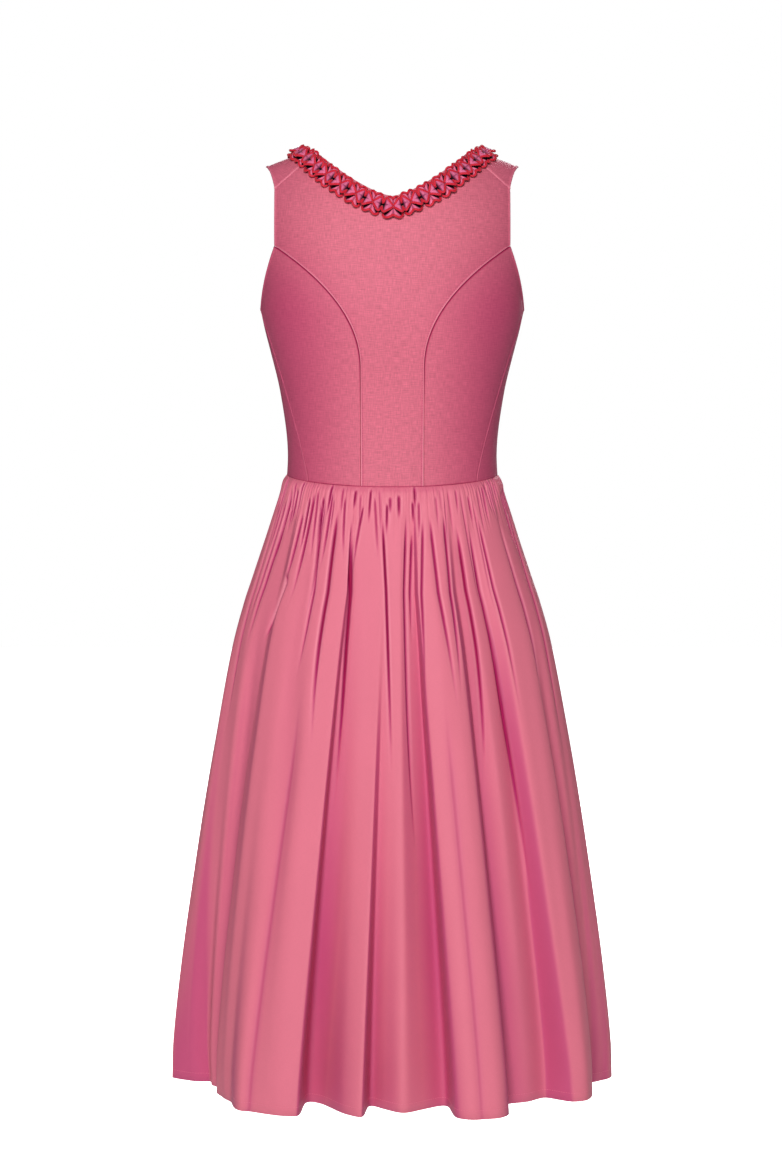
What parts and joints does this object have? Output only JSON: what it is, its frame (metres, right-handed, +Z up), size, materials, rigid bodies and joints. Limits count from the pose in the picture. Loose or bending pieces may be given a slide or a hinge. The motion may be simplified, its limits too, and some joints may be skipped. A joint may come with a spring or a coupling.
{
  "type": "dirndl",
  "caption": "Sleeveless folk dress as worn with no wearer: hollow bodice on wide straps, pinched neck ruche, gathered knee-length skirt open at the hem.",
  "frame": {"origin": "midway between the two straps, where the wearer's shoulders carry them", "axes": "+Z up along the length of the dress, the back of the dress faces -Y, the front faces +Y, +X to the right of someone looking at the back"},
  "size_m": [0.5354, 0.3382, 1.116],
  "materials": {
    "bodice_linen": "matt pink linen canvas",
    "ruche_cotton": "pink cotton with bright red piped edges",
    "skirt_cotton": "matt pink fine cotton"
  },
  "bodies": {
    "root": {"back_center": "bodice_linen", "back_side_left": "bodice_linen", "back_side_right": "bodice_linen", "front_left": "bodice_linen", "front_right": "bodice_linen", "neck_ruche": "ruche_cotton", "skirt_back": "skirt_cotton", "skirt_front_left": "skirt_cotton", "skirt_front_right": "skirt_cotton"}
  },
  "joints": []
}
